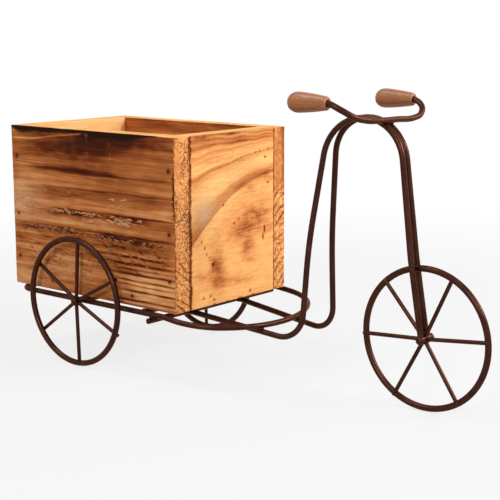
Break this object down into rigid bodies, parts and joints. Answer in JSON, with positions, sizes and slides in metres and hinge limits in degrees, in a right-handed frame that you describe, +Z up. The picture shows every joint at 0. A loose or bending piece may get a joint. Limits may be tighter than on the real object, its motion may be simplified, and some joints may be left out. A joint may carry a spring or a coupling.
{
  "type": "tricycle plant stand",
  "caption": "Decorative plant stand: an open burnt-wood planter box on a bent steel rod tricycle frame with spoked wheels that roll and a handlebar with turned wooden grips.",
  "frame": {"origin": "on the ground under the middle of the stand's overall box", "axes": "+X points forward to the single front wheel, +Y to the stand's left, +Z up"},
  "size_m": [0.4786, 0.1852, 0.2573],
  "materials": {
    "burnt_softwood": "torched and brushed, bare",
    "grip_wood": "turned, stained, satin",
    "bronze_coat": "satin brown-bronze coat",
    "nail_steel": "dark, oxidised"
  },
  "bodies": {
    "stand": {"back_board": "burnt_softwood", "base_loop": "bronze_coat", "floor_board": "burnt_softwood", "front_axle": "bronze_coat", "front_board": "burnt_softwood", "front_support_bar": "bronze_coat", "handlebar": "bronze_coat", "left_grip": "grip_wood", "left_leg_rod": "bronze_coat", "left_side_board": "burnt_softwood", "left_side_nails": "nail_steel", "left_stub_axle": "bronze_coat", "leg_cross_bar": "bronze_coat", "rear_support_bar": "bronze_coat", "right_grip": "grip_wood", "right_leg_rod": "bronze_coat", "right_side_board": "burnt_softwood", "right_side_nails": "nail_steel", "right_stub_axle": "bronze_coat"},
    "right_rear_wheel": {"right_rear_hub": "bronze_coat", "right_rear_rim": "bronze_coat", "right_rear_spoke_1": "bronze_coat", "right_rear_spoke_2": "bronze_coat", "right_rear_spoke_3": "bronze_coat", "right_rear_spoke_4": "bronze_coat", "right_rear_spoke_5": "bronze_coat", "right_rear_spoke_6": "bronze_coat"},
    "left_rear_wheel": {"left_rear_hub": "bronze_coat", "left_rear_rim": "bronze_coat", "left_rear_spoke_1": "bronze_coat", "left_rear_spoke_2": "bronze_coat", "left_rear_spoke_3": "bronze_coat", "left_rear_spoke_4": "bronze_coat", "left_rear_spoke_5": "bronze_coat", "left_rear_spoke_6": "bronze_coat"},
    "front_wheel": {"front_hub": "bronze_coat", "front_rim": "bronze_coat", "front_spoke_1": "bronze_coat", "front_spoke_2": "bronze_coat", "front_spoke_3": "bronze_coat", "front_spoke_4": "bronze_coat", "front_spoke_5": "bronze_coat", "front_spoke_6": "bronze_coat"}
  },
  "joints": [
    {"name": "right_rear_wheel_spin", "type": "hinge", "parent": "stand", "child": "right_rear_wheel", "pos_m": [-0.13925, -0.0876, 0.06], "axis": [0, 1, 0], "continuous": true},
    {"name": "left_rear_wheel_spin", "type": "hinge", "parent": "stand", "child": "left_rear_wheel", "pos_m": [-0.13925, 0.0876, 0.06], "axis": [0, 1, 0], "continuous": true},
    {"name": "front_wheel_spin", "type": "hinge", "parent": "stand", "child": "front_wheel", "pos_m": [0.17925, 0, 0.06], "axis": [0, 1, 0], "continuous": true}
  ]
}
